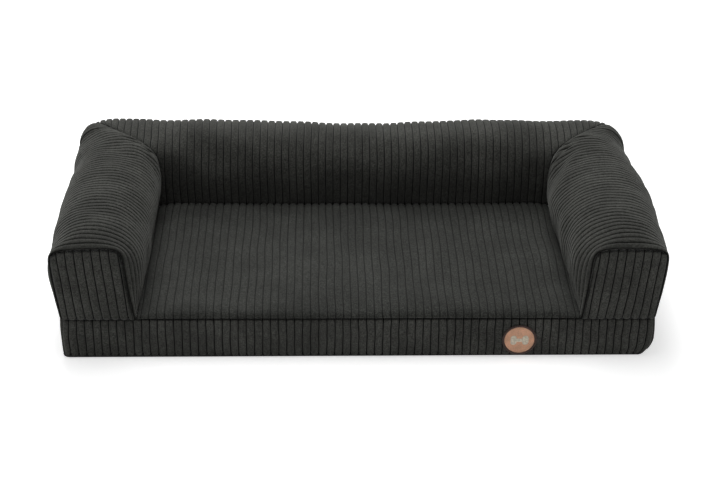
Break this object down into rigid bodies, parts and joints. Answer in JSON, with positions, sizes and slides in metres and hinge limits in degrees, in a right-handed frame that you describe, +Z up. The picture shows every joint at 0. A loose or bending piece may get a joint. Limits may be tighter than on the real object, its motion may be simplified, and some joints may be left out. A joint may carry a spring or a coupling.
{
  "type": "dog bed",
  "caption": "Sofa-style dog bed: foam mattress base with a padded bolster on three sides, ribbed corduroy cover, rear zips.",
  "frame": {"origin": "on the floor, at the middle of the bed's width and depth", "axes": "+X along the bed's width, to the right seen from the open front, +Y from the open front to the back, +Z up"},
  "size_m": [0.791, 0.4126, 0.1642],
  "materials": {
    "corduroy": "dark charcoal wide-rib corduroy with a soft pile",
    "lining": "plain dark woven lining",
    "grip_cloth": "dark woven underside with soft grip dots",
    "case_cloth": "white non-woven inner case",
    "fibre": "loose white polyester fibre",
    "foam": "cream open-cell foam",
    "zip_tape": "black woven tape",
    "zip_teeth": "black moulded teeth",
    "zip_metal": "black painted die-cast metal",
    "badge_ground": "peach felt",
    "badge_thread": "dark brown overlocked thread",
    "badge_stitch": "cream embroidery thread"
  },
  "bodies": {
    "bed": {"back_bolster_cover": "corduroy", "back_filling": "fibre", "back_floor_panel": "lining", "back_pillow_case": "case_cloth", "badge_backing": "badge_ground", "badge_border": "badge_thread", "badge_motif": "badge_stitch", "base_back_lower_boxing": "corduroy", "base_back_upper_boxing": "corduroy", "base_front_boxing": "corduroy", "base_left_boxing": "corduroy", "base_right_boxing": "corduroy", "base_zip_lower_tape": "zip_tape", "base_zip_stops": "zip_teeth", "base_zip_teeth": "zip_teeth", "base_zip_upper_tape": "zip_tape", "bolster_zip_lower_tape": "zip_tape", "bolster_zip_stops": "zip_teeth", "bolster_zip_teeth": "zip_teeth", "bolster_zip_upper_tape": "zip_tape", "grip_bottom_panel": "grip_cloth", "left_arm_cover": "corduroy", "left_arm_end_panel": "corduroy", "left_arm_filling": "fibre", "left_arm_floor_panel": "lining", "left_arm_pillow_case": "case_cloth", "mattress_foam": "foam", "mattress_liner": "case_cloth", "right_arm_cover": "corduroy", "right_arm_end_panel": "corduroy", "right_arm_filling": "fibre", "right_arm_floor_panel": "lining", "right_arm_pillow_case": "case_cloth", "sleeping_panel": "corduroy"},
    "base_zip_slider": {"base_zip_slider": "zip_metal"},
    "base_zip_pull": {"base_zip_pull": "zip_metal"},
    "bolster_zip_slider": {"bolster_zip_slider": "zip_metal"},
    "bolster_zip_pull": {"bolster_zip_pull": "zip_metal"}
  },
  "joints": [
    {"name": "base_zip_slide", "type": "slide", "parent": "bed", "child": "base_zip_slider", "axis": [-1, 0, 0], "range_m": [0, 0.6284]},
    {"name": "base_zip_pull_flip", "type": "hinge", "parent": "base_zip_slider", "child": "base_zip_pull", "pos_m": [0.3142, 0.201, 0.031], "axis": [0, 0, -1], "range_deg": [0, 175]},
    {"name": "bolster_zip_slide", "type": "slide", "parent": "bed", "child": "bolster_zip_slider", "axis": [-1, 0, 0], "range_m": [0, 0.4284]},
    {"name": "bolster_zip_pull_flip", "type": "hinge", "parent": "bolster_zip_slider", "child": "bolster_zip_pull", "pos_m": [0.2142, 0.201, 0.072], "axis": [0, 0, -1], "range_deg": [0, 175]}
  ]
}
